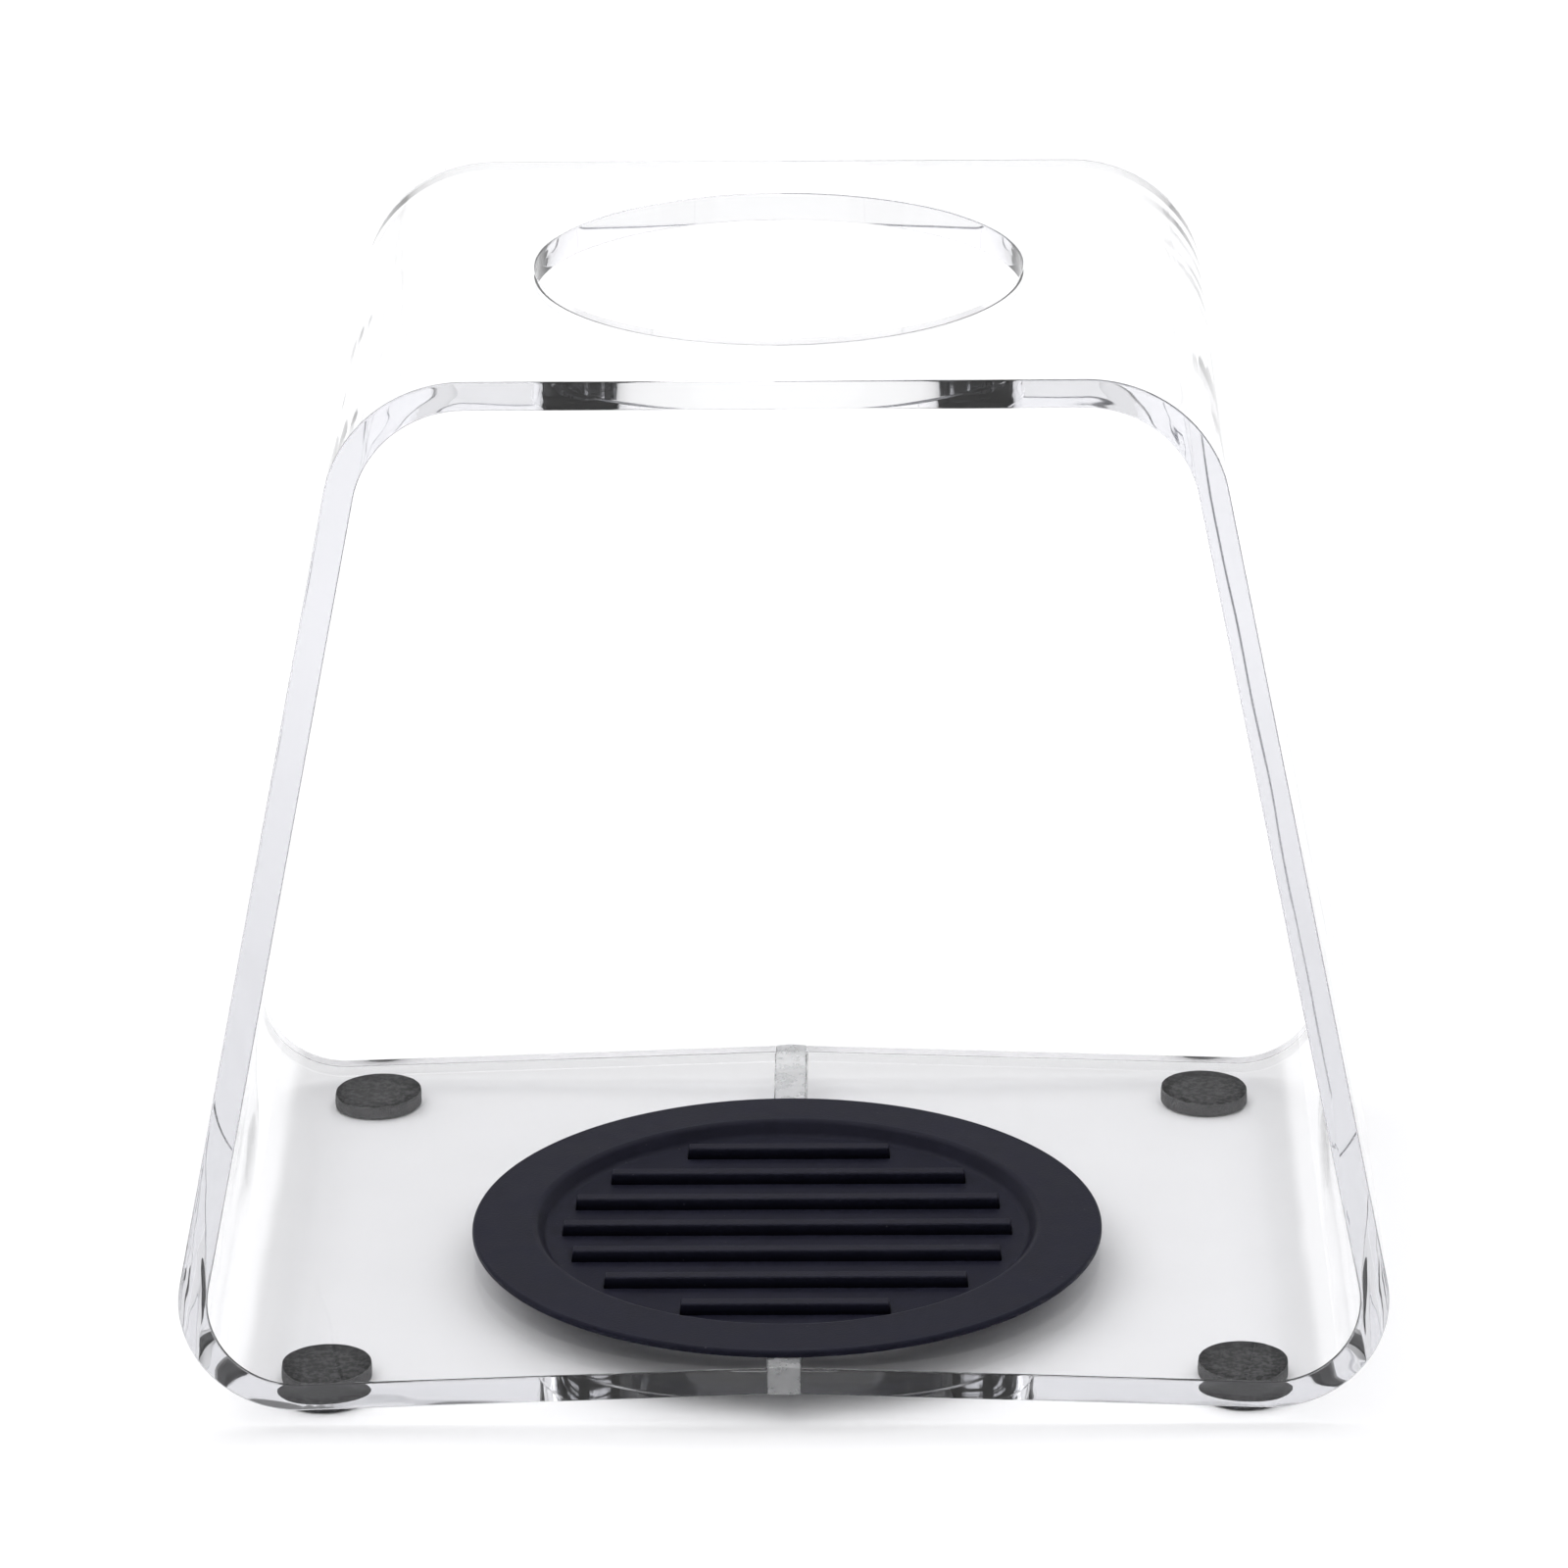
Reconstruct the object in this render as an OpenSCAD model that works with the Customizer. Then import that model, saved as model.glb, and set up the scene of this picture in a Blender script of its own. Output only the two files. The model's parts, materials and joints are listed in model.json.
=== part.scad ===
// Clear acrylic stand for a pour-over coffee dripper, with a lift-out drip tray.
// One heat-bent strip forms a closed loop. Millimetres, +Z up, front towards -Y.

/* [Acrylic sheet] */
// Thickness of the clear sheet
sheet_t = 5; // [4:0.5:6]
// Width of the base between its sharp, unrounded corners
base_w = 216; // [205:1:240]
// Width of the top plate between its sharp, unrounded corners
top_w = 141; // [134:1:160]
// Height from the sharp base corners to the top face
loop_h = 188; // [150:1:230]
// Front-to-back depth of the base
base_depth = 145; // [140:1:160]
// Front-to-back depth of the top plate
top_depth = 129.5; // [110:0.5:138]
// How far the two holes sit in front of the middle of the base
forward_shift = 13; // [8:0.5:14]
// Outer bend radius at the base corners
base_bend_r = 20; // [15:0.5:24]
// Outer bend radius at the top corners
top_bend_r = 24; // [18:0.5:27]
// How far the two halves of the base climb towards the seam
base_rise = 3.8; // [2:0.1:4.5]
// Width of the bonded seam between the two ends of the strip
seam_w = 5.5; // [3:0.5:8]

/* [Holes] */
// Diameter of the dripper hole in the top plate
dripper_hole_d = 83; // [70:0.5:88]
// Diameter of the tray hole in the base
tray_hole_d = 89; // [88.1:0.1:90]

/* [Drip tray] */
// Outer diameter of the tray flange
flange_d = 112; // [106:0.5:114]
// Thickness of the tray flange
flange_t = 1.6; // [1.4:0.1:2]
// Outer diameter of the sunken cup
cup_d = 88; // [87.5:0.1:88]
// Diameter of the recess floor
recess_floor_d = 84.8; // [84:0.1:85]
// Depth of the recess below the flange
recess_depth = 2.6; // [2.4:0.1:3]
// Radius of the soft roll from the flange down into the recess
roll_r = 2.4; // [2:0.1:2.4]
// Thickness of the cup floor
cup_floor_t = 1.8; // [1.6:0.1:2.2]
// Gap between the flange and the ridge of the base
seat_gap = 0.05; // [0.02:0.01:0.1]
// Distance between neighbouring ribs
rib_pitch = 11.4; // [10.5:0.1:11.6]
// Radius of the circle that the corners of the ribs reach
rib_circle_r = 39.8; // [38.5:0.1:40]
// Height of a rib above the recess floor
rib_h = 2; // [1.6:0.1:2.4]
// Thickness of a rib along its top
rib_top_w = 2.5; // [2:0.1:3]
// Extra thickness of a rib at its foot, on each side and at each end
rib_draft = 0.3; // [0.2:0.1:0.5]

/* [Feet] */
// Diameter of a foot pad
foot_d = 16.5; // [12:0.5:18]
// Height of the base above the floor at the middle of a rear foot
foot_h = 2.5; // [2:0.1:3.5]
// Thickness of the adhesive disc on top of a foot pad
adhesive_t = 0.2; // [0.1:0.05:0.3]
// Distance of a front foot from the middle plane, left or right
front_foot_x = 79.5; // [74:0.5:80]
// Distance of a rear foot from the middle plane, left or right
rear_foot_x = 77; // [74:0.5:80]
// Distance of a foot's middle from the front or rear edge of the base
foot_inset = 12; // [10:0.5:14]

/* [Hidden] */
$fn = 96;

// Length by which a cutting shape runs past the solid it cuts
over = 10;
// Half sizes and slopes of the loop
half_base = base_w / 2;
half_top = top_w / 2;
leg_angle = atan((half_base - half_top) / loop_h);
base_angle = atan(base_rise / half_base);
// Floor height of the sharp base corners
corner_z = foot_h - base_rise * (1 - rear_foot_x / half_base);
top_z = corner_z + loop_h;
// Front-to-back positions, centred on the bounding box
front_top_from_base = -forward_shift - top_depth / 2;
base_y = -(base_depth / 2 + front_top_from_base) / 2;
hole_y = base_y - forward_shift;
base_front_y = base_y - base_depth / 2;
base_rear_y = base_y + base_depth / 2;
top_front_y = hole_y - top_depth / 2;
top_rear_y = hole_y + top_depth / 2;
// A point at distance d inside both lines that meet at the base corner
function base_corner(d) = let (
    nbx = sin(base_angle), nby = cos(base_angle),
    nlx = -cos(leg_angle), nly = -sin(leg_angle),
    cb = nbx * half_base + d,
    cl = nlx * half_base + d,
    det = nbx * nly - nby * nlx
) [(cb * nly - nby * cl) / det, (nbx * cl - cb * nlx) / det];
// A point at distance d inside both lines that meet at the top corner
function top_corner(d) = let (
    nlx = -cos(leg_angle), nly = -sin(leg_angle),
    cl = nlx * half_base + d
) [(cl - nly * (loop_h - d)) / nlx, loop_h - d];
// Centres of the corner bends, in the plane of the loop
base_bend = base_corner(base_bend_r);
top_bend = top_corner(top_bend_r);
// Heights of the tray
ridge_z = corner_z + base_rise + sheet_t / cos(base_angle);
flange_z = ridge_z + seat_gap;
flange_top_z = flange_z + flange_t;
recess_z = flange_top_z - recess_depth;
cup_z = recess_z - cup_floor_t;
// Ribs on each side of the middle one
rib_side_count = 3;
// Radius of the rounded rim of the flange
lip_r = flange_t / 2;
// Radius of the rounded edge under the cup
cup_edge_r = 1;

// Right half of the loop's outline, drawn at the given distance inside the outer face
module half_outline(inset_d) {
    br = base_bend_r - inset_d;
    tr = top_bend_r - inset_d;
    polygon([
        [0, base_rise + inset_d / cos(base_angle)],
        [base_bend[0] - br * sin(base_angle), base_bend[1] - br * cos(base_angle)],
        base_bend,
        [base_bend[0] + br * cos(leg_angle), base_bend[1] + br * sin(leg_angle)],
        [top_bend[0] + tr * cos(leg_angle), top_bend[1] + tr * sin(leg_angle)],
        top_bend,
        [top_bend[0], loop_h - inset_d],
        [0, loop_h - inset_d]
    ]);
    translate(base_bend) circle(r = br);
    translate(top_bend) circle(r = tr);
}

// Whole outline of the loop at the given distance inside the outer face
module outline(inset_d) {
    half_outline(inset_d);
    mirror([1, 0]) half_outline(inset_d);
}

// The bent strip as a band of even thickness, standing on the XZ plane
module band() {
    rotate([90, 0, 0])
        translate([0, corner_z, -base_rear_y])
            linear_extrude(base_rear_y - top_front_y)
                difference() {
                    outline(0);
                    outline(sheet_t);
                }
}

// Side shape of the loop: the cut edges run from the deep base to the shallower top
module side_shape() {
    translate([-half_base - over, 0, 0])
        rotate([90, 0, 90])
            linear_extrude(base_w + 2 * over)
                polygon([
                    [base_front_y, corner_z], [base_rear_y, corner_z],
                    [top_rear_y, top_z], [top_front_y, top_z]
                ]);
}

// Round cutter along Z through the hole axis
module hole_cut(d, z0, z1) {
    translate([0, hole_y, z0]) cylinder(d = d, h = z1 - z0);
}

// Bounds of the seam, over the whole base or one bar of it
module seam_block(y0, y1) {
    translate([-seam_w / 2, y0, corner_z])
        cube([seam_w, y1 - y0, base_rise + sheet_t + over]);
}

module seam_filler(y0, y1) {
    difference() {
        intersection() {
            band();
            side_shape();
            seam_block(y0, y1);
        }
        hole_cut(tray_hole_d, corner_z - over, ridge_z + over);
    }
}

module acrylic_frame() {
    color([0.93, 0.95, 0.96, 0.25])
        difference() {
            intersection() {
                band();
                side_shape();
            }
            hole_cut(dripper_hole_d, top_z - sheet_t - over, top_z + over);
            hole_cut(tray_hole_d, corner_z - over, ridge_z + over);
            seam_block(base_front_y - over, base_rear_y + over);
        }
}

module seam_filler_front() {
    color([0.9, 0.91, 0.91, 0.6]) seam_filler(base_front_y - over, hole_y);
}

module seam_filler_rear() {
    color([0.9, 0.91, 0.91, 0.6]) seam_filler(hole_y, base_rear_y + over);
}

// Half length of a rib whose outer side lies at distance y from the middle of the tray
function rib_half_length(y) = sqrt(rib_circle_r * rib_circle_r - y * y);

// A rib with sloping sides and ends, half_len long each way along its top
module rib(half_len) {
    foot_w = rib_top_w + 2 * rib_draft;
    root = cup_floor_t / 2;
    slope = rib_draft / rib_h;
    intersection() {
        translate([-half_len - over, 0, 0])
            rotate([90, 0, 90])
                linear_extrude(2 * (half_len + over))
                    polygon([
                        [-foot_w / 2 - slope * root, -root], [foot_w / 2 + slope * root, -root],
                        [rib_top_w / 2, rib_h], [-rib_top_w / 2, rib_h]
                    ]);
        translate([0, foot_w, 0])
            rotate([90, 0, 0])
                linear_extrude(2 * foot_w)
                    polygon([
                        [-half_len - rib_draft - slope * root, -root],
                        [half_len + rib_draft + slope * root, -root],
                        [half_len, rib_h], [-half_len, rib_h]
                    ]);
    }
}

// Flange and sunken cup as one round body
module tray_shell() {
    rotate_extrude()
        difference() {
            union() {
                translate([0, flange_z]) square([flange_d / 2 - lip_r, flange_t]);
                translate([flange_d / 2 - lip_r, flange_z + lip_r]) circle(r = lip_r);
                translate([0, cup_z + cup_edge_r])
                    square([cup_d / 2, flange_z + lip_r - cup_z - cup_edge_r]);
                translate([0, cup_z]) square([cup_d / 2 - cup_edge_r, cup_edge_r]);
                translate([cup_d / 2 - cup_edge_r, cup_z + cup_edge_r]) circle(r = cup_edge_r);
            }
            difference() {
                translate([0, recess_z]) square([recess_floor_d / 2 + roll_r, over]);
                translate([recess_floor_d / 2 + roll_r, flange_top_z - roll_r]) circle(r = roll_r);
                translate([recess_floor_d / 2, recess_z])
                    square([roll_r, recess_depth - roll_r]);
            }
        }
}

module drip_tray() {
    color([0.07, 0.07, 0.085])
        translate([0, hole_y, 0]) {
            tray_shell();
            for (i = [-rib_side_count:rib_side_count])
                translate([0, i * rib_pitch, recess_z])
                    rib(rib_half_length(abs(i) * rib_pitch + rib_top_w / 2));
        }
}

// Space under the right half of the base, down from the given distance below its face
module below_base(gap) {
    rotate([90, 0, 0])
        translate([0, 0, -base_rear_y])
            linear_extrude(base_depth)
                polygon([
                    [0, -over], [half_base, -over],
                    [half_base, corner_z - gap],
                    [0, corner_z + base_rise - gap]
                ]);
}

// A foot on the right, from the floor up to the given distance below the base
module foot_column(x, y, gap) {
    intersection() {
        translate([x, y, 0]) cylinder(d = foot_d, h = foot_h + base_rise);
        below_base(gap);
    }
}

module foot_pad(x, y) {
    color([0.2, 0.2, 0.21]) foot_column(x, y, adhesive_t);
}

module foot_adhesive(x, y) {
    color([0.32, 0.32, 0.33])
        difference() {
            foot_column(x, y, 0);
            below_base(adhesive_t);
        }
}

front_foot_y = base_front_y + foot_inset;
rear_foot_y = base_rear_y - foot_inset;

module foot_pad_front_right() foot_pad(front_foot_x, front_foot_y);
module foot_pad_front_left() mirror([1, 0, 0]) foot_pad_front_right();
module foot_pad_rear_right() foot_pad(rear_foot_x, rear_foot_y);
module foot_pad_rear_left() mirror([1, 0, 0]) foot_pad_rear_right();
module foot_adhesive_front_right() foot_adhesive(front_foot_x, front_foot_y);
module foot_adhesive_front_left() mirror([1, 0, 0]) foot_adhesive_front_right();
module foot_adhesive_rear_right() foot_adhesive(rear_foot_x, rear_foot_y);
module foot_adhesive_rear_left() mirror([1, 0, 0]) foot_adhesive_rear_right();

acrylic_frame();
seam_filler_front();
seam_filler_rear();
drip_tray();
foot_pad_front_left();
foot_pad_front_right();
foot_pad_rear_left();
foot_pad_rear_right();
foot_adhesive_front_left();
foot_adhesive_front_right();
foot_adhesive_rear_left();
foot_adhesive_rear_right();
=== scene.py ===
"""Looks for a clear acrylic coffee dripper stand: polished sheet, silicone tray, foam feet."""
import json
import math

import bmesh
import bpy
from mathutils import Matrix, Vector, noise


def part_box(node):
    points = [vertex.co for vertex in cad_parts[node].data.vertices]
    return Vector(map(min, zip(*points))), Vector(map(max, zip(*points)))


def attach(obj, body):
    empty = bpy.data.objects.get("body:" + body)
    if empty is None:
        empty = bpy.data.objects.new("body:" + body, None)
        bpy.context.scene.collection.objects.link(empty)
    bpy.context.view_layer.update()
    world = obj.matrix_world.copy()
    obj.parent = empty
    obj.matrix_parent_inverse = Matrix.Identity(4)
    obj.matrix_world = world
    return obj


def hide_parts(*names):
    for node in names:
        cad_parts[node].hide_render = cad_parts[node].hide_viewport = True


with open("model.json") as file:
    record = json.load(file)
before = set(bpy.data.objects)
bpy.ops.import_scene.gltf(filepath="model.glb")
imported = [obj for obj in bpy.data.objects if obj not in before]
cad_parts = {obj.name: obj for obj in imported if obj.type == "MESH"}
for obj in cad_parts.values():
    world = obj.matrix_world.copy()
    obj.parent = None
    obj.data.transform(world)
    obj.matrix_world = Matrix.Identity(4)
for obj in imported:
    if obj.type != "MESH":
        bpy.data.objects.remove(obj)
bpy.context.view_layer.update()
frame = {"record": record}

# ---------------------------------------------------------------- sizes, in metres

MM = 0.001
MOUNTS = {m["name"]: m for m in frame["record"]["mounts"]}
frame_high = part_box("acrylic_frame")[1]
tray_low, tray_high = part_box("drip_tray")

# The sheet, from the dripper hole's mount and the frame's box
SHEET = MOUNTS["dripper_hole"]["dims"]["length_mm"] * MM
HOLE_R = MOUNTS["dripper_hole"]["dims"]["r_mm"] * MM
HOLE_Y = MOUNTS["dripper_hole"]["pos_m"][1]
TOP_Z = frame_high.z
# The loop's outline between its sharp corners, as in the CAD model
LOOP_H = 188 * MM
HALF_BASE = 108 * MM
HALF_TOP = 70.5 * MM
BASE_BEND = 20 * MM
TOP_BEND = 24 * MM
BASE_RISE = 3.8 * MM
BASE_DEPTH = 145 * MM
TOP_DEPTH = 129.5 * MM
TRAY_HOLE_R = 44.5 * MM
HALF_SEAM = 2.75 * MM
CORNER_Z = TOP_Z - LOOP_H
LEG_ANGLE = math.atan((HALF_BASE - HALF_TOP) / LOOP_H)
BASE_ANGLE = math.atan(BASE_RISE / HALF_BASE)
# The middle of the base lies this far behind the two holes
FORWARD_SHIFT = 13 * MM
BASE_REAR = HOLE_Y + FORWARD_SHIFT + BASE_DEPTH / 2
BASE_FRONT = BASE_REAR - BASE_DEPTH
TOP_FRONT = HOLE_Y - TOP_DEPTH / 2
TOP_REAR = HOLE_Y + TOP_DEPTH / 2


def front_y(z):
    """Where the front cut edge lies at height z."""
    share = (z - CORNER_Z) / LOOP_H
    return BASE_FRONT + (TOP_FRONT - BASE_FRONT) * share


def rear_y(z):
    """Where the rear cut edge lies at height z."""
    share = (z - CORNER_Z) / LOOP_H
    return BASE_REAR + (TOP_REAR - BASE_REAR) * share


def base_z(x, depth=0.0):
    """Height of the base at x, depth above its underside."""
    slope = BASE_RISE * (1 - abs(x) / HALF_BASE)
    return CORNER_Z + slope + depth / math.cos(BASE_ANGLE)


def bend_centre(normal_a, offset_a, normal_b, offset_b):
    """The point whose dot products with the two normals are the two offsets."""
    det = normal_a[0] * normal_b[1] - normal_a[1] * normal_b[0]
    x = (offset_a * normal_b[1] - normal_a[1] * offset_b) / det
    z = (normal_a[0] * offset_b - offset_a * normal_b[0]) / det
    return x, z + CORNER_Z


LEG_NORMAL = (-math.cos(LEG_ANGLE), -math.sin(LEG_ANGLE))
BASE_NORMAL = (math.sin(BASE_ANGLE), math.cos(BASE_ANGLE))
BASE_CENTRE = bend_centre(BASE_NORMAL, BASE_NORMAL[0] * HALF_BASE + BASE_BEND,
                          LEG_NORMAL, LEG_NORMAL[0] * HALF_BASE + BASE_BEND)
TOP_CENTRE = bend_centre((0, -1), -LOOP_H + TOP_BEND,
                         LEG_NORMAL, LEG_NORMAL[0] * HALF_BASE + TOP_BEND)


def arc(centre, radius, start, stop, steps):
    """Points (x, z) on an arc, angles in radians."""
    angles = [start + (stop - start) * i / steps for i in range(steps + 1)]
    return [(centre[0] + radius * math.cos(t), centre[1] + radius * math.sin(t)) for t in angles]


# ---------------------------------------------------------------- materials

ACRYLIC_IOR = 1.49
# Grey of the long way through the sheet, from one cut edge to the other
SHEET_GREY = (0.60, 0.605, 0.64, 1)
SHEET_GREY_DENSITY = 4.8
# What is left of a lamp's light behind one face of the sheet
SHADOW_TINT = (0.94, 0.94, 0.945, 1)


def new_material(name):
    """A node material and its Principled shader, both fresh."""
    mat = bpy.data.materials.new(name)
    mat.use_nodes = True
    tree = mat.node_tree
    return mat, tree, tree.nodes["Principled BSDF"]


def add(tree, kind, **inputs):
    """A node with its inputs set; an input's value may be another node's output."""
    node = tree.nodes.new(kind)
    for key, value in inputs.items():
        socket = node.inputs[key.replace("_", " ")]
        if isinstance(value, bpy.types.NodeSocket):
            tree.links.new(value, socket)
        else:
            socket.default_value = value
    return node


def place(tree):
    """Object coordinates in metres, the same for every piece."""
    return tree.nodes.new("ShaderNodeTexCoord").outputs["Object"]


def ramp(tree, fac, stops):
    """A colour ramp through (position, grey or colour) stops."""
    node = tree.nodes.new("ShaderNodeValToRGB")
    tree.links.new(fac, node.inputs["Fac"])
    elements = node.color_ramp.elements
    while len(elements) < len(stops):
        elements.new(0.5)
    for element, (position, value) in zip(elements, stops):
        element.position = position
        rgb = (value, value, value) if isinstance(value, float) else value
        element.color = (*rgb, 1.0)
    return node.outputs["Color"]


def bump(tree, height, strength, distance):
    node = add(tree, "ShaderNodeBump", Height=height, Strength=strength, Distance=distance)
    return node.outputs["Normal"]


def clear_acrylic(name, tint, haze):
    """Polished clear sheet, with hairline scuffs up to a haze and a ripple left by the bending."""
    mat, tree, shader = new_material(name)
    shader.inputs["Base Color"].default_value = (*tint, 1)
    shader.inputs["Transmission Weight"].default_value = 1.0
    shader.inputs["IOR"].default_value = ACRYLIC_IOR
    where = place(tree)
    scuffs = add(tree, "ShaderNodeTexNoise", Vector=where, Scale=900.0, Detail=3.0)
    rough = ramp(tree, scuffs.outputs["Fac"], [(0.0, 0.0), (0.62, haze * 0.3), (1.0, haze)])
    tree.links.new(rough, shader.inputs["Roughness"])
    ripple = add(tree, "ShaderNodeTexNoise", Vector=where, Scale=28.0, Detail=1.0)
    tree.links.new(bump(tree, ripple.outputs["Fac"], 0.12, 0.002), shader.inputs["Normal"])
    # Lamps shine through the sheet, so that its shadow is as light as a real one
    surface = tree.nodes["Material Output"].inputs["Surface"]
    through = add(tree, "ShaderNodeBsdfTransparent", Color=SHADOW_TINT)
    path = tree.nodes.new("ShaderNodeLightPath")
    mix = tree.nodes.new("ShaderNodeMixShader")
    tree.links.new(path.outputs["Is Shadow Ray"], mix.inputs["Fac"])
    tree.links.new(shader.outputs["BSDF"], mix.inputs[1])
    tree.links.new(through.outputs["BSDF"], mix.inputs[2])
    tree.links.new(mix.outputs["Shader"], surface)
    grey = add(tree, "ShaderNodeVolumeAbsorption", Color=SHEET_GREY, Density=SHEET_GREY_DENSITY)
    tree.links.new(grey.outputs["Volume"], tree.nodes["Material Output"].inputs["Volume"])
    return mat


def seam_bond():
    """Cloudy cured solvent cement with fine bubbles."""
    mat, tree, shader = new_material("seam_bond")
    where = place(tree)
    cloud = add(tree, "ShaderNodeTexNoise", Vector=where, Scale=420.0, Detail=4.0)
    colour = ramp(tree, cloud.outputs["Fac"], [(0.3, (0.70, 0.71, 0.72)), (0.7, (0.90, 0.90, 0.91))])
    tree.links.new(colour, shader.inputs["Base Color"])
    shader.inputs["Transmission Weight"].default_value = 0.75
    shader.inputs["IOR"].default_value = ACRYLIC_IOR
    rough = ramp(tree, cloud.outputs["Fac"], [(0.3, 0.18), (0.7, 0.42)])
    tree.links.new(rough, shader.inputs["Roughness"])
    tree.links.new(bump(tree, cloud.outputs["Fac"], 0.25, 0.0003), shader.inputs["Normal"])
    return mat


def black_silicone():
    """Matte blue-black silicone with a fine moulded grain and a little dust."""
    mat, tree, shader = new_material("black_silicone")
    where = place(tree)
    grain = add(tree, "ShaderNodeTexNoise", Vector=where, Scale=2600.0, Detail=2.0)
    blotch = add(tree, "ShaderNodeTexNoise", Vector=where, Scale=120.0, Detail=4.0)
    colour = ramp(tree, blotch.outputs["Fac"],
                  [(0.3, (0.009, 0.009, 0.017)), (0.7, (0.012, 0.012, 0.022))])
    dust = add(tree, "ShaderNodeTexVoronoi", Vector=where, Scale=260.0, Randomness=1.0)
    speck = ramp(tree, dust.outputs["Distance"], [(0.0, 1.0), (0.05, 0.0)])
    mix = tree.nodes.new("ShaderNodeMix")
    mix.data_type = "RGBA"
    tree.links.new(speck, mix.inputs["Factor"])
    tree.links.new(colour, mix.inputs["A"])
    mix.inputs["B"].default_value = (0.07, 0.07, 0.075, 1)
    tree.links.new(mix.outputs["Result"], shader.inputs["Base Color"])
    shader.inputs["Specular IOR Level"].default_value = 0.06
    rough = ramp(tree, blotch.outputs["Fac"], [(0.3, 0.42), (0.7, 0.52)])
    tree.links.new(rough, shader.inputs["Roughness"])
    tree.links.new(bump(tree, grain.outputs["Fac"], 0.25, 0.00015), shader.inputs["Normal"])
    return mat


def foot_foam():
    """Closed-cell foam rubber: small cells, open where the disc was die-cut."""
    mat, tree, shader = new_material("foot_foam")
    where = place(tree)
    cells = add(tree, "ShaderNodeTexVoronoi", Vector=where, Scale=2200.0, Randomness=1.0)
    blotch = add(tree, "ShaderNodeTexNoise", Vector=where, Scale=500.0, Detail=5.0)
    colour = ramp(tree, blotch.outputs["Fac"],
                  [(0.3, (0.036, 0.036, 0.039)), (0.7, (0.068, 0.068, 0.072))])
    tree.links.new(colour, shader.inputs["Base Color"])
    shader.inputs["Roughness"].default_value = 0.85
    tree.links.new(bump(tree, cells.outputs["Distance"], 0.6, 0.0004), shader.inputs["Normal"])
    return mat


def foot_adhesive():
    """Tacky film, mottled where it has wetted the sheet unevenly."""
    mat, tree, shader = new_material("foot_adhesive")
    where = place(tree)
    wetting = add(tree, "ShaderNodeTexNoise", Vector=where, Scale=900.0, Detail=5.0, Roughness=0.7)
    colour = ramp(tree, wetting.outputs["Fac"],
                  [(0.44, (0.004, 0.004, 0.005)), (0.60, (0.09, 0.09, 0.094))])
    tree.links.new(colour, shader.inputs["Base Color"])
    rough = ramp(tree, wetting.outputs["Fac"], [(0.35, 0.35), (0.65, 0.7)])
    tree.links.new(rough, shader.inputs["Roughness"])
    tree.links.new(bump(tree, wetting.outputs["Fac"], 0.3, 0.0002), shader.inputs["Normal"])
    return mat


# ---------------------------------------------------------------- making pieces


def finish_piece(mesh, name, body, slot, nodes, *mats):
    """Links a mesh as a piece on a body, in place of its CAD nodes."""
    obj = bpy.data.objects.new(name, mesh)
    bpy.context.scene.collection.objects.link(obj)
    for mat in mats:
        mesh.materials.append(mat)
    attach(obj, body)
    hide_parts(*nodes)
    return obj


def to_mesh(bm, name, smooth=True):
    """Outward normals, smooth faces, and the bmesh turned into mesh data."""
    bmesh.ops.recalc_face_normals(bm, faces=bm.faces)
    for face in bm.faces:
        face.smooth = smooth
    mesh = bpy.data.meshes.new(name)
    bm.to_mesh(mesh)
    bm.free()
    return mesh


def flat_faces(obj, weight):
    """Shades each big face as flat, however its edges are rounded."""
    flat = obj.modifiers.new("flat_faces", "WEIGHTED_NORMAL")
    flat.mode = "FACE_AREA"
    flat.weight = weight


def polish_edges(obj, width, segments=3, angle=35):
    """Rounds the sharp edges and keeps the big faces flat."""
    bevel = obj.modifiers.new("polished_edges", "BEVEL")
    bevel.width = width
    bevel.segments = segments
    bevel.limit_method = "ANGLE"
    bevel.angle_limit = math.radians(angle)
    flat_faces(obj, 100)


# ---------------------------------------------------------------- acrylic sheet

BEND_STEPS = 36
HALF_HOLE_STEPS = 64
# Material slots of the sheet: its faces have the first, its cut edges the second
CUT_EDGE = 1
SHEET_POLISH = 0.3 * MM
# Points closer than this are one where the two halves of the sheet meet
WELD = 1e-7


def outline(depth):
    """Right half of the loop at this depth inside its outer face, from the seam to mid-top."""
    base = arc(BASE_CENTRE, BASE_BEND - depth, -math.pi / 2 - BASE_ANGLE, LEG_ANGLE, BEND_STEPS)
    top = arc(TOP_CENTRE, TOP_BEND - depth, LEG_ANGLE, math.pi / 2, BEND_STEPS)
    return [(HALF_SEAM, base_z(HALF_SEAM, depth))] + base + top + [(0.0, TOP_Z - depth)]


def half_circle(radius, cut_x):
    """Points (x, y) round the right of a hole, front to rear, between its crossings of cut_x."""
    reach = math.acos(cut_x / radius)
    angles = [reach * (2 * i / HALF_HOLE_STEPS - 1) for i in range(HALF_HOLE_STEPS + 1)]
    return [(radius * math.cos(t), HOLE_Y + radius * math.sin(t)) for t in angles]


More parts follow.
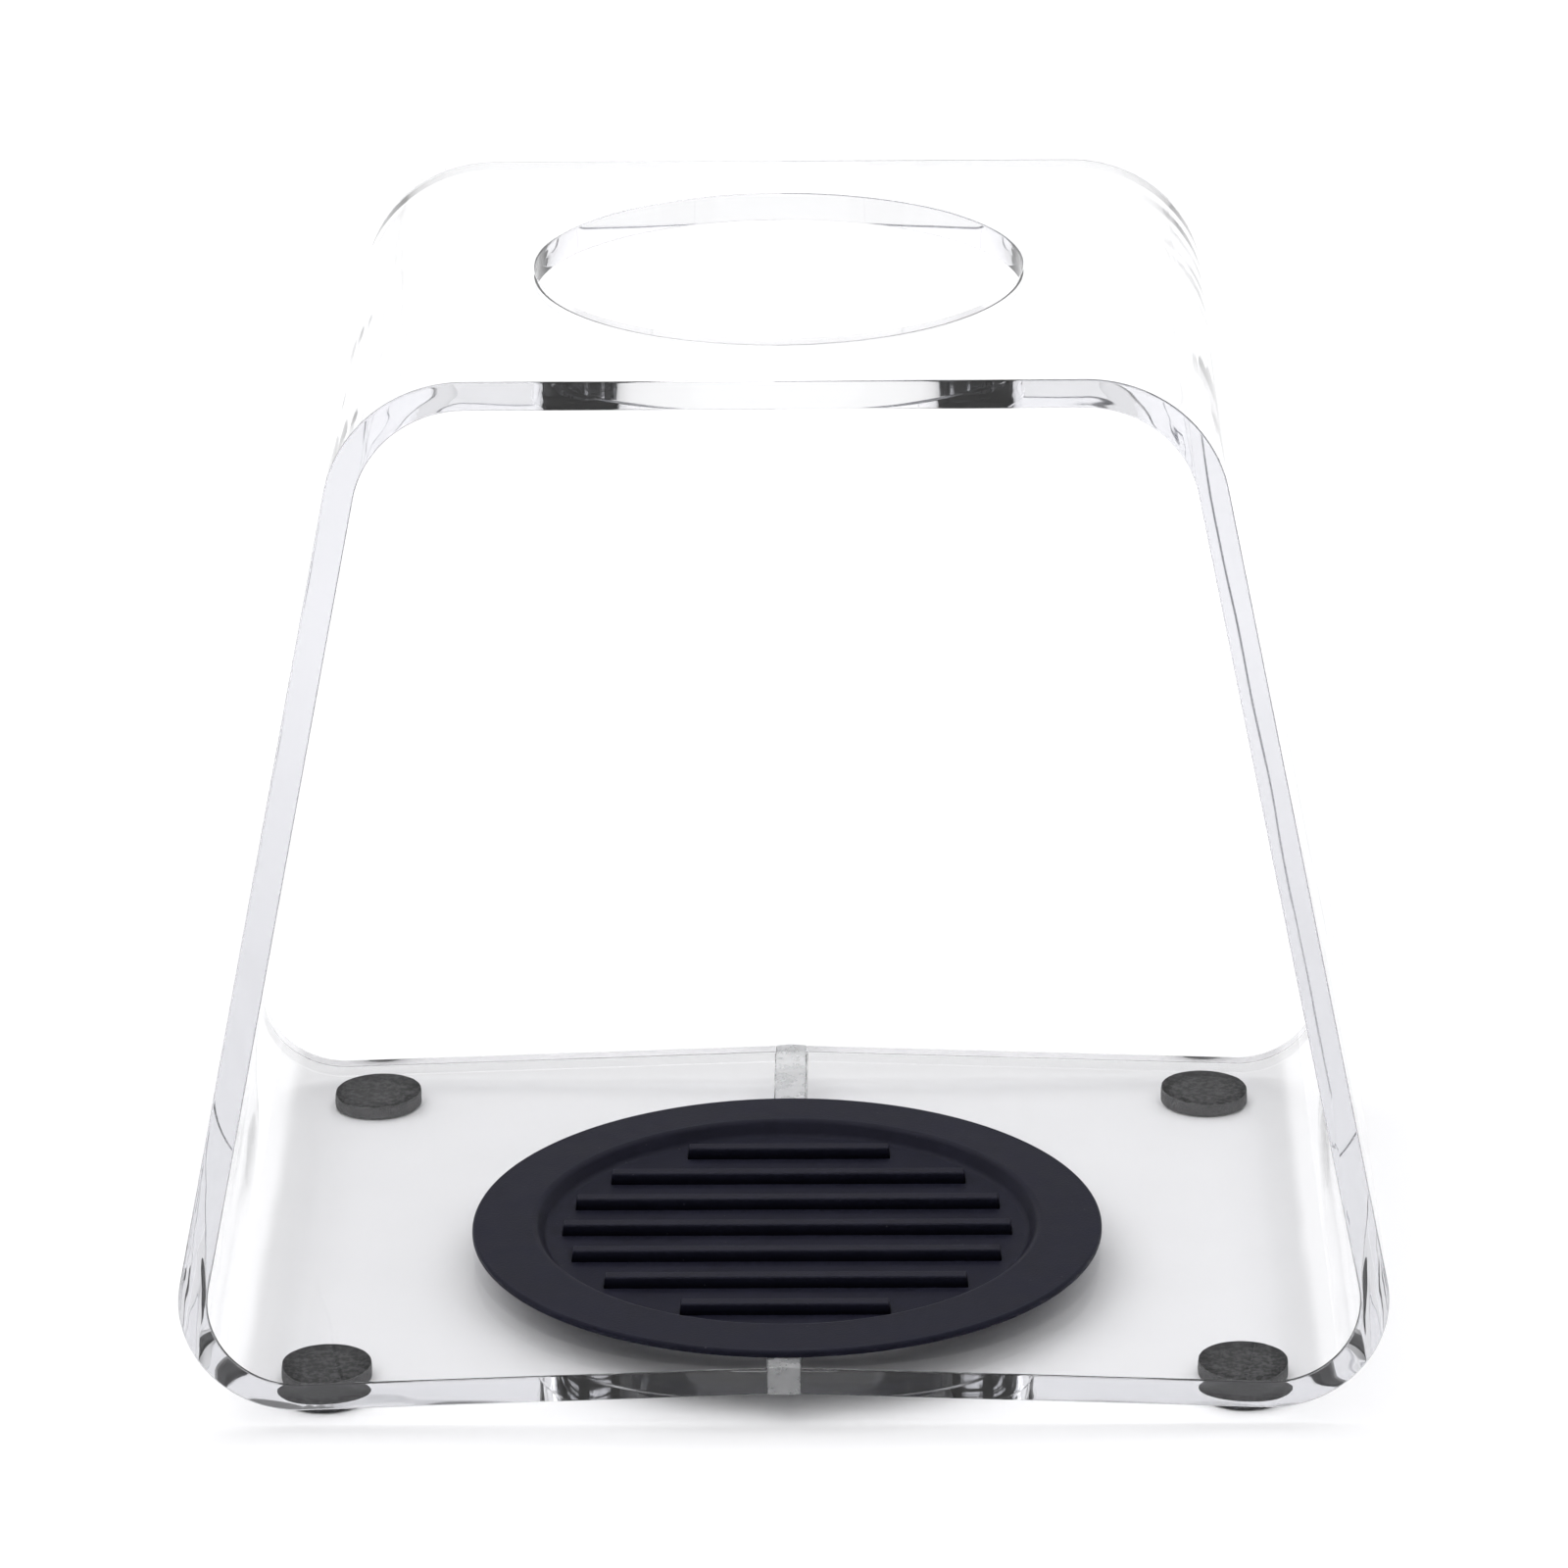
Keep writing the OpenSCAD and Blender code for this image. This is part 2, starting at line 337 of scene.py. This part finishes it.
def acrylic_sheet():
    """The bent strip: flat plates with round holes, curved bends and cut edges all round."""
    bm = bmesh.new()
    fronts, rears, base_holes, top_holes = [], [], [], []
    for depth in (0.0, SHEET):
        points = outline(depth)
        fronts.append([bm.verts.new((x, front_y(z), z)) for x, z in points])
        rears.append([bm.verts.new((x, rear_y(z), z)) for x, z in points])
        base_holes.append([bm.verts.new((x, y, base_z(x, depth)))
                           for x, y in half_circle(TRAY_HOLE_R, HALF_SEAM)])
        top_holes.append([bm.verts.new((x, y, TOP_Z - depth)) for x, y in half_circle(HOLE_R, 0.0)])
    last = len(fronts[0]) - 2
    for front, rear, base_hole, top_hole in zip(fronts, rears, base_holes, top_holes):
        bm.faces.new([front[0], front[1], rear[1], rear[0]] + base_hole[::-1])
        bm.faces.new([front[-2], front[-1]] + top_hole + [rear[-1], rear[-2]])
        for i in range(1, last):
            bm.faces.new([front[i], front[i + 1], rear[i + 1], rear[i]])
    for edge in (fronts, rears, base_holes, top_holes):
        outer, inner = edge
        for i in range(len(outer) - 1):
            cut = bm.faces.new([outer[i], outer[i + 1], inner[i + 1], inner[i]])
            cut.material_index = CUT_EDGE
    for edge, hole_end in ((fronts, 0), (rears, -1)):
        bm.faces.new([edge[0][0], edge[1][0], base_holes[1][hole_end], base_holes[0][hole_end]])
    half = bm.verts[:] + bm.edges[:] + bm.faces[:]
    copy = bmesh.ops.duplicate(bm, geom=half)["geom"]
    for vert in copy:
        if isinstance(vert, bmesh.types.BMVert):
            vert.co.x = -vert.co.x
    bmesh.ops.remove_doubles(bm, verts=bm.verts, dist=WELD)
    return to_mesh(bm, "acrylic_sheet")


sheet = finish_piece(acrylic_sheet(), "acrylic_sheet", "stand", "clear_acrylic",
                     ["acrylic_frame"], clear_acrylic("clear_acrylic", (0.99, 0.99, 0.995), 0.04),
                     clear_acrylic("cut_edge", (0.97, 0.97, 0.98), 0.10))
polish_edges(sheet, SHEET_POLISH)

# ---------------------------------------------------------------- seam

# The bond runs this far into the sheet on each side, so that no film of air shows
BOND_OVERLAP = 0.06 * MM
SEAM_SECTIONS = 24
SEAM_POLISH = 0.15 * MM
# Sideways wander of the bond, how far it stands proud, and the height and waver of its crown
SEAM_WANDER = 0.12 * MM
SEAM_PROUD = 0.02 * MM
CROWN = 0.1 * MM
CROWN_WAVER = 0.06 * MM


def seam_bar(is_front):
    """One bar of the bonded seam: a cloudy band that stands a little proud and wavers."""
    bm = bmesh.new()
    across = [-1.0, -0.6, -0.2, 0.2, 0.6, 1.0]
    rings = []
    for s in range(SEAM_SECTIONS + 1):
        share = s / SEAM_SECTIONS
        ring = []
        for depth, lift in ((SHEET, 1), (0.0, -1)):
            for u in (across if lift > 0 else across[::-1]):
                waver = noise.noise(Vector((share * 9, u * 0.6 + depth * 700, 3.0 + is_front)))
                x = u * (HALF_SEAM + BOND_OVERLAP) + SEAM_WANDER * waver * u
                crown = (CROWN + CROWN_WAVER * waver) * (1 - u * u)
                z = base_z(x, depth) + lift * (crown + SEAM_PROUD)
                hole = math.sqrt(TRAY_HOLE_R ** 2 - x * x)
                if is_front:
                    y = front_y(z) * (1 - share) + (HOLE_Y - hole) * share
                else:
                    y = (HOLE_Y + hole) * (1 - share) + rear_y(z) * share
                ring.append(bm.verts.new((x, y, z)))
        rings.append(ring)
    count = len(rings[0])
    for near, far in zip(rings, rings[1:]):
        for i in range(count):
            j = (i + 1) % count
            bm.faces.new([near[i], near[j], far[j], far[i]])
    bm.faces.new(rings[0])
    bm.faces.new(rings[-1][::-1])
    return to_mesh(bm, "seam_bar")


seam_mat = seam_bond()
for place_name in ("front", "rear"):
    bar = finish_piece(seam_bar(place_name == "front"), "seam_bond_" + place_name, "stand",
                       "seam_bond", ["seam_filler_" + place_name], seam_mat)
    polish_edges(bar, SEAM_POLISH, segments=2, angle=50)

# ---------------------------------------------------------------- drip tray

FLANGE_R = (tray_high.x - tray_low.x) / 2
FLANGE_T = 1.6 * MM
FLANGE_EDGE_T = 1.3 * MM
CUP_R = 44 * MM
RECESS_R = 42.06 * MM
ROLL_R = 1.5 * MM
FLOOR_FILLET = 1.6 * MM
WALL_SLOPE = math.radians(55)
RECESS_DEPTH = 2.6 * MM
FLANGE_TOP = tray_high.z
RECESS_Z = FLANGE_TOP - RECESS_DEPTH
CUP_Z = tray_low.z
RIB_PITCH = 11.4 * MM
RIB_H = 2.0 * MM
RIB_TOP = 2.5 * MM
RIB_DRAFT = 0.3 * MM
RIB_CIRCLE = 39.8 * MM
RIB_ROOT = 0.6 * MM
RIB_ROUND = 0.35 * MM
FLANGE_DROOP = 0.3 * MM
RIBS_EACH_SIDE = 3
TURN_STEPS = 256


def tray_profile():
    """Points (r, z) round one side of the tray, from under its middle to the recess floor."""
    under = FLANGE_TOP - FLANGE_T
    edge_top = under + FLANGE_EDGE_T
    q = math.pi / 2
    cup_edge, web, lip_low, lip_top = 1.0 * MM, 0.5 * MM, 0.35 * MM, 0.55 * MM
    points = [(0.0, CUP_Z)]
    points += arc((CUP_R - cup_edge, CUP_Z + cup_edge), cup_edge, -q, 0, 6)
    points += arc((CUP_R + web, under - web), web, 2 * q, q, 4)
    points += arc((FLANGE_R - lip_low, under + lip_low), lip_low, -q, 0, 5)
    points += arc((FLANGE_R - lip_top, edge_top - lip_top), lip_top, 0, q, 7)
    # The recess wall: a roll off the flange, a slope and a fillet into the floor
    fillet = arc((RECESS_R, RECESS_Z + FLOOR_FILLET), FLOOR_FILLET, WALL_SLOPE - q, -q, 10)
    slope_foot = fillet[0]
    roll_end = FLANGE_TOP - ROLL_R * (1 - math.cos(WALL_SLOPE))
    roll_r = slope_foot[0] + (roll_end - slope_foot[1]) / math.tan(WALL_SLOPE)
    roll_centre = (roll_r + ROLL_R * math.sin(WALL_SLOPE), FLANGE_TOP - ROLL_R)
    points += arc(roll_centre, ROLL_R, q, q + WALL_SLOPE, 12) + fillet
    points += [(RECESS_R * share, RECESS_Z) for share in (0.8, 0.5, 0.2)]
    return points + [(0.0, RECESS_Z)]


def droop(x, y):
    """How far the soft flange sinks towards the sloping base at its left and right."""
    r = math.hypot(x, y)
    past_cup = max(0.0, (r - CUP_R) / (FLANGE_R - CUP_R))
    return FLANGE_DROOP * past_cup ** 1.5 * (x / max(r, MM)) ** 2


def add_rib(bm, y, half_len):
    """A moulded rib with sloping sides and rounded edges, rooted in the recess floor."""
    grow = RIB_DRAFT * (1 + RIB_ROOT / RIB_H)
    low, high = RECESS_Z - RIB_ROOT, RECESS_Z + RIB_H
    corners = [(-1, -1), (1, -1), (1, 1), (-1, 1)]
    bottom = [bm.verts.new((sx * (half_len + grow), y + sy * (RIB_TOP / 2 + grow), low))
              for sx, sy in corners]
    top = [bm.verts.new((sx * half_len, y + sy * RIB_TOP / 2, high)) for sx, sy in corners]
    faces = [bm.faces.new(bottom[::-1]), bm.faces.new(top)]
    for i in range(4):
        j = (i + 1) % 4
        faces.append(bm.faces.new([bottom[i], bottom[j], top[j], top[i]]))
    bottom_set = set(bottom)
    edges = {e for f in faces for e in f.edges if not set(e.verts) <= bottom_set}
    bmesh.ops.bevel(bm, geom=list(edges), offset=RIB_ROUND, segments=3, profile=0.5,
                    affect="EDGES", clamp_overlap=True)


def drip_tray():
    """The silicone tray, about the Z axis: flange, sunken cup and parallel ribs."""
    bm = bmesh.new()
    profile = tray_profile()
    rings = []
    for r, z in profile:
        if r == 0.0:
            rings.append([bm.verts.new((0, 0, z))])
            continue
        ring = []
        for i in range(TURN_STEPS):
            t = 2 * math.pi * i / TURN_STEPS
            x, y = r * math.cos(t), r * math.sin(t)
            ring.append(bm.verts.new((x, y, z - droop(x, y))))
        rings.append(ring)
    for low, high in zip(rings, rings[1:]):
        for i in range(TURN_STEPS):
            j = (i + 1) % TURN_STEPS
            if len(low) == 1:
                bm.faces.new([low[0], high[j], high[i]])
            elif len(high) == 1:
                bm.faces.new([low[i], low[j], high[0]])
            else:
                bm.faces.new([low[i], low[j], high[j], high[i]])
    for i in range(-RIBS_EACH_SIDE, RIBS_EACH_SIDE + 1):
        y = i * RIB_PITCH
        add_rib(bm, y, math.sqrt(RIB_CIRCLE ** 2 - (abs(y) + RIB_TOP / 2) ** 2))
    for vert in bm.verts:
        vert.co.y += HOLE_Y
    return to_mesh(bm, "drip_tray")


tray = finish_piece(drip_tray(), "silicone_drip_tray", "tray", "black_silicone",
                    ["drip_tray"], black_silicone())
flat_faces(tray, 50)

# ---------------------------------------------------------------- feet

ADHESIVE_T = 0.2 * MM
FOOT_STEPS = 128
# The adhesive is pressed onto the sheet, so that no film of air shows between them
CONTACT = 0.05 * MM
# A die-cut rim wanders by the first of these in broad waves and by the second in fine ones
RIM_WANDER, RIM_GRAIN = 0.05 * MM, 0.035 * MM
# Within this radius the wander fades out towards the middle
RIM_FADE = 4 * MM
PAD_CLEARANCE, FILM_CLEARANCE = 0.05 * MM, 0.15 * MM


def rim_noise(angle, waves, height):
    """Noise that closes on itself round a rim."""
    return noise.noise(Vector((math.cos(angle) * waves, math.sin(angle) * waves, height)))


def lathe(bm, centre, rows, height):
    """A closed disc: rows of (radius, level) rings, with height(x, y, level) giving each z."""
    rings = []
    for radius, level in rows:
        ring = []
        for i in range(FOOT_STEPS):
            t = 2 * math.pi * i / FOOT_STEPS
            wander = RIM_WANDER * rim_noise(t, 6, level * 3 + centre[0] * 90)
            grain = RIM_GRAIN * rim_noise(t, 40, level * 9 + centre[1] * 70)
            r = radius + (wander + grain) * min(1.0, radius / RIM_FADE)
            x, y = centre[0] + r * math.cos(t), centre[1] + r * math.sin(t)
            ring.append(bm.verts.new((x, y, height(x, y, level))))
        rings.append(ring)
    for low, high in zip(rings, rings[1:]):
        for i in range(FOOT_STEPS):
            j = (i + 1) % FOOT_STEPS
            bm.faces.new([low[i], low[j], high[j], high[i]])
    bm.faces.new(rings[0][::-1])
    bm.faces.new(rings[-1])


def underside_z(x):
    """Height of the sheet's underside at x, from the flat base into the bend."""
    past = abs(x) - BASE_CENTRE[0]
    flat_end = BASE_CENTRE[0] - BASE_BEND * math.sin(BASE_ANGLE)
    if abs(x) <= flat_end:
        return base_z(x)
    return BASE_CENTRE[1] - math.sqrt(BASE_BEND ** 2 - past ** 2)


def foot_pad(centre, radius):
    """A die-cut foam disc whose top follows the sloping base and whose underside lies flat."""
    bm = bmesh.new()
    rim = 0.3 * MM
    rows = [(radius * 0.5, 0.0), (radius - rim, 0.0), (radius - 0.1 * rim, 0.09), (radius, 0.2),
            (radius, 0.4), (radius - 0.02 * MM, 0.6), (radius, 0.8), (radius - 0.15 * rim, 0.95),
            (radius - rim, 1.0), (radius * 0.5, 1.0)]
    lathe(bm, centre, rows, lambda x, y, level: level * (underside_z(x) - ADHESIVE_T))
    return to_mesh(bm, "foot_pad")


def foot_film(centre, radius):
    """The adhesive disc between a pad and the sheet."""
    bm = bmesh.new()
    rows = [(radius * 0.5, 0.0), (radius, 0.0), (radius, 1.0), (radius * 0.5, 1.0)]
    lathe(bm, centre, rows,
          lambda x, y, level: underside_z(x) - ADHESIVE_T * (1 - level) + CONTACT * level)
    return to_mesh(bm, "foot_film")


foam, film = foot_foam(), foot_adhesive()
for corner in ("front_left", "front_right", "rear_left", "rear_right"):
    low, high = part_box("foot_pad_" + corner)
    middle = ((low.x + high.x) / 2, (low.y + high.y) / 2)
    radius = (high.x - low.x) / 2
    finish_piece(foot_pad(middle, radius - PAD_CLEARANCE), "foam_foot_" + corner, "stand",
                 "foot_foam", ["foot_pad_" + corner], foam)
    finish_piece(foot_film(middle, radius - FILM_CLEARANCE), "foot_film_" + corner, "stand",
                 "foot_adhesive", ["foot_adhesive_" + corner], film)

# ---------------------------------------------------------------- stage

FLOOR_SIZE = 6.0
# The floor lies this far under the feet, so that no two faces share a plane
FLOOR_GAP = 0.2 * MM
FLOOR_COLOUR = (0.86, 0.86, 0.87, 1)
bpy.ops.mesh.primitive_plane_add(size=FLOOR_SIZE, location=(0, 0, -FLOOR_GAP))
floor = bpy.context.object
floor.name = "floor"
floor_mat, _, floor_shader = new_material("pale_floor")
floor_shader.inputs["Base Color"].default_value = FLOOR_COLOUR
floor_shader.inputs["Roughness"].default_value = 0.9
floor.data.materials.append(floor_mat)

# Strengths of the sky: along the horizon before and behind the object, low down and overhead
HORIZON_FRONT, HORIZON_BACK = 0.50, 1.0
LOW_SKY, OVERHEAD = 0.24, 1.40
# A broad soft window of light, high and a little to the left behind the object
WINDOW_TOWARDS = Vector((-0.45, 0.30, 0.85)).normalized()
WINDOW_STRENGTH = 1.20

world = bpy.data.worlds.new("studio")
bpy.context.scene.world = world
world.use_nodes = True
sky_tree = world.node_tree
background = sky_tree.nodes["Background"]
background.inputs["Color"].default_value = (1, 1, 1, 1)
direction = sky_tree.nodes.new("ShaderNodeTexCoord").outputs["Generated"]
split = add(sky_tree, "ShaderNodeSeparateXYZ", Vector=direction)


def remap(value, low, high, at_low, at_high):
    """A smooth change from at_low to at_high as the value goes from low to high."""
    node = sky_tree.nodes.new("ShaderNodeMapRange")
    node.interpolation_type = "SMOOTHSTEP"
    node.inputs["From Min"].default_value = low
    node.inputs["From Max"].default_value = high
    for socket, source in (("Value", value), ("To Min", at_low), ("To Max", at_high)):
        if isinstance(source, bpy.types.NodeSocket):
            sky_tree.links.new(source, node.inputs[socket])
        else:
            node.inputs[socket].default_value = source
    return node.outputs["Result"]


horizon = remap(split.outputs["Y"], -0.3, 0.3, HORIZON_FRONT, HORIZON_BACK)
# Heights in the sky are sines of the angle above the horizon
low_sky = remap(split.outputs["Z"], 0.14, 0.28, horizon, LOW_SKY)
whole_sky = remap(split.outputs["Z"], 0.44, 0.80, low_sky, OVERHEAD)
toward_window = add(sky_tree, "ShaderNodeVectorMath")
toward_window.operation = "DOT_PRODUCT"
sky_tree.links.new(direction, toward_window.inputs[0])
toward_window.inputs[1].default_value = WINDOW_TOWARDS
window = remap(toward_window.outputs["Value"], 0.70, 0.96, 0.0, WINDOW_STRENGTH)
sky_strength = add(sky_tree, "ShaderNodeMath")
sky_tree.links.new(whole_sky, sky_strength.inputs[0])
sky_tree.links.new(window, sky_strength.inputs[1])
sky_tree.links.new(sky_strength.outputs["Value"], background.inputs["Strength"])


def softbox(name, centre, aim, width, depth, power):
    """A rectangular lamp at centre that faces aim."""
    lamp = bpy.data.lights.new(name, "AREA")
    lamp.shape = "RECTANGLE"
    lamp.size = width
    lamp.size_y = depth
    lamp.energy = power
    lamp.cycles.use_multiple_importance_sampling = False
    obj = bpy.data.objects.new(name, lamp)
    bpy.context.scene.collection.objects.link(obj)
    facing = (Vector(aim) - Vector(centre)).to_track_quat("-Z", "Y").to_matrix().to_4x4()
    obj.matrix_world = Matrix.Translation(centre) @ facing


# A tall white panel behind the object: the top plate mirrors it and the base does not
PANEL_Y, PANEL_LOW, PANEL_HIGH, PANEL_HALF = 0.35, 0.24, 0.75, 0.9
PANEL_STRENGTH = 1.05
panel_mesh = bpy.data.meshes.new("back_panel")
panel_mesh.from_pydata([(-PANEL_HALF, PANEL_Y, PANEL_LOW), (PANEL_HALF, PANEL_Y, PANEL_LOW),
                        (PANEL_HALF, PANEL_Y, PANEL_HIGH), (-PANEL_HALF, PANEL_Y, PANEL_HIGH)],
                       [], [(0, 1, 2, 3)])
panel = bpy.data.objects.new("back_panel", panel_mesh)
bpy.context.scene.collection.objects.link(panel)
panel_mat, _, panel_shader = new_material("panel_glow")
panel_shader.inputs["Base Color"].default_value = (0, 0, 0, 1)
panel_shader.inputs["Emission Color"].default_value = (1, 1, 1, 1)
panel_shader.inputs["Emission Strength"].default_value = PANEL_STRENGTH
panel_mat.cycles.emission_sampling = "NONE"
panel_mesh.materials.append(panel_mat)
panel.visible_camera = False
panel.visible_shadow = False
# A weak lamp washes the floor behind the object
softbox("back_wash", centre=(0, 0.9, 0.9), aim=(0, 0.7, 0), width=1.6, depth=0.5, power=2.2)

# ---------------------------------------------------------------- camera

CAMERA_PLACE = Vector((0.01776, -1.37486, 0.61200))
CAMERA_YAW = math.radians(-0.740)
CAMERA_PITCH = math.radians(20.767)
CAMERA_ROLL = math.radians(-0.497)
# Lens and sensor width in millimetres
CAMERA_LENS, CAMERA_SENSOR = 192.1, 36
camera_data = bpy.data.cameras.new("camera")
camera_data.lens = CAMERA_LENS
camera_data.sensor_width = CAMERA_SENSOR
camera = bpy.data.objects.new("camera", camera_data)
bpy.context.scene.collection.objects.link(camera)
forward = Vector((math.sin(CAMERA_YAW) * math.cos(CAMERA_PITCH),
                  math.cos(CAMERA_YAW) * math.cos(CAMERA_PITCH),
                  -math.sin(CAMERA_PITCH)))
level_right = Vector((math.cos(CAMERA_YAW), -math.sin(CAMERA_YAW), 0))
level_up = level_right.cross(forward)
right = level_right * math.cos(CAMERA_ROLL) + level_up * math.sin(CAMERA_ROLL)
up = right.cross(forward)
turn = Matrix((right, up, -forward)).transposed().to_4x4()
camera.matrix_world = Matrix.Translation(CAMERA_PLACE) @ turn
bpy.context.scene.camera = camera
bpy.context.scene.view_settings.view_transform = "Standard"
# Light passes along the sheet by many inner reflections
bpy.context.scene.cycles.max_bounces = 48
bpy.context.scene.cycles.transmission_bounces = 48
bpy.context.scene.cycles.glossy_bounces = 16
# The sky is found by the paths alone and lamps by shadow rays alone, so that neither is counted
# twice where it shines through the sheet
world.cycles.sampling_method = "NONE"
# Light that has met the floor still passes through the sheet without being blurred
bpy.context.scene.cycles.blur_glossy = 0.0
